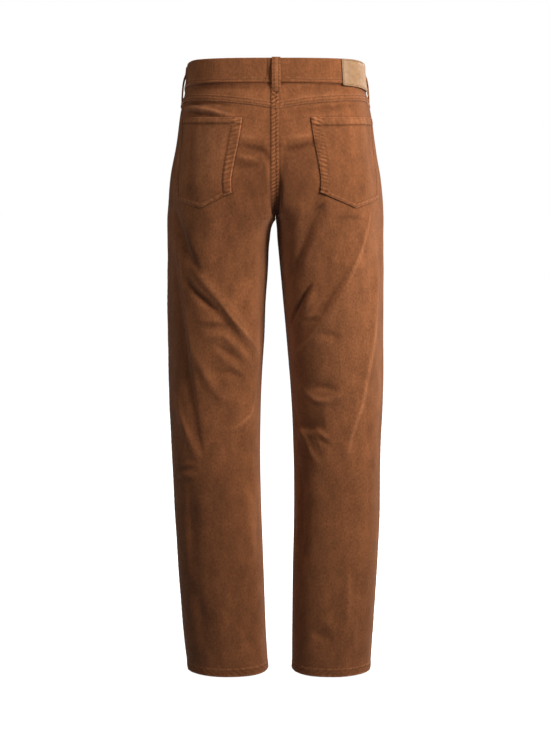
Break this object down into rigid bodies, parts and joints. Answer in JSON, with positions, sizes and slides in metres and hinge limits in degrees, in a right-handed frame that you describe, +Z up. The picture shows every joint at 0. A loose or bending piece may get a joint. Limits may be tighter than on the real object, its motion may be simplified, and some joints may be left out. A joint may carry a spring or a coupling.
{
  "type": "corduroy trousers",
  "caption": "Straight-leg corduroy trousers in their worn, hollow form, with yoke, patch pockets, belt loops and a bare leather patch.",
  "frame": {"origin": "middle of the waist opening, level with the top of the waistband at the centre back", "axes": "+Z up, +Y towards the wearer's front, +X towards the wearer's right"},
  "size_m": [0.3852, 0.2606, 1.0964],
  "materials": {
    "corduroy": "matte fine-wale velvet pile",
    "leather": "smooth vegetable-tanned",
    "brass": "antiqued"
  },
  "bodies": {
    "root": {"yoke_left": "corduroy", "yoke_right": "corduroy", "back_left": "corduroy", "back_right": "corduroy", "front_left": "corduroy", "front_right": "corduroy", "pocket_left": "corduroy", "pocket_right": "corduroy", "waistband_left": "corduroy", "waistband_right": "corduroy", "patch_leather": "leather", "loop_back": "corduroy", "loop_side_left": "corduroy", "loop_side_right": "corduroy", "loop_front_left": "corduroy", "loop_front_right": "corduroy", "fly_shield": "corduroy", "button_waist": "brass"}
  },
  "joints": []
}
